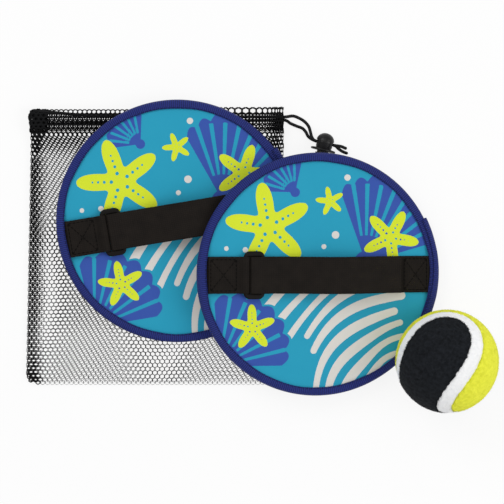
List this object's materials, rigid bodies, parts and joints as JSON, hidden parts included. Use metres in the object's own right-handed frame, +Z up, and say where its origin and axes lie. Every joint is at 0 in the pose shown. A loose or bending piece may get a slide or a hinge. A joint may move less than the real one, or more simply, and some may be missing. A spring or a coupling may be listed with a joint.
{
  "type": "hook and loop catch set",
  "caption": "Round padded catch paddles with hand straps, a felt ball and a mesh drawstring bag with a cord lock, laid flat.",
  "frame": {"origin": "middle of the laid-out set in plan, on the surface that it lies on", "axes": "+X from the bag towards the ball, +Y towards the bag's mouth, +Z up off the surface"},
  "size_m": [0.3207, 0.2126, 0.0695],
  "materials": {
    "neoprene": "smooth printed nylon face on foam rubber",
    "edge_tape": "ribbed woven binding tape, dark blue",
    "loop_fabric": "brushed loop pile, black",
    "board": "plain stiffener sheet",
    "webbing": "plain woven polypropylene webbing, black",
    "hook_tape": "moulded nylon hooks on woven tape, black",
    "black_plastic": "moulded acetal, black",
    "ball_rubber": "moulded rubber core",
    "black_felt": "fluffy needled felt, black",
    "yellow_felt": "fluffy needled felt, yellow green",
    "white_felt": "fluffy needled felt, white",
    "net": "hexagonal knitted net, black",
    "cord": "braided polyester cord, black",
    "spring_steel": "drawn wire"
  },
  "bodies": {
    "catch_set": {"left_paddle_catch_face": "loop_fabric", "left_paddle_core_board": "board", "left_paddle_front_panel": "neoprene", "left_paddle_edge_tape": "edge_tape", "left_paddle_anchor_tab": "webbing", "left_paddle_strap_ring": "black_plastic", "left_paddle_hand_strap": "webbing", "left_paddle_strap_loop_patch": "loop_fabric", "left_paddle_strap_hook_patch": "hook_tape", "right_paddle_catch_face": "loop_fabric", "right_paddle_core_board": "board", "right_paddle_front_panel": "neoprene", "right_paddle_edge_tape": "edge_tape", "right_paddle_anchor_tab": "webbing", "right_paddle_strap_ring": "black_plastic", "right_paddle_hand_strap": "webbing", "right_paddle_strap_loop_patch": "loop_fabric", "right_paddle_strap_hook_patch": "hook_tape", "ball_core": "ball_rubber", "ball_black_felt": "black_felt", "ball_yellow_felt": "yellow_felt", "ball_seam": "white_felt", "bag_front_net": "net", "bag_back_net": "net", "bag_seam": "net", "drawstring": "cord", "cord_lock_body": "black_plastic", "cord_lock_spring": "spring_steel"},
    "lock_button": {"cord_lock_button": "black_plastic"}
  },
  "joints": [
    {"name": "cord_lock_press", "type": "slide", "parent": "catch_set", "child": "lock_button", "axis": [0.2419, 0.9703, 0], "range_m": [0, 0.0012], "stiffness_N_per_m": 500, "springref_m": -0.001, "deforming": ["cord_lock_spring"]}
  ]
}
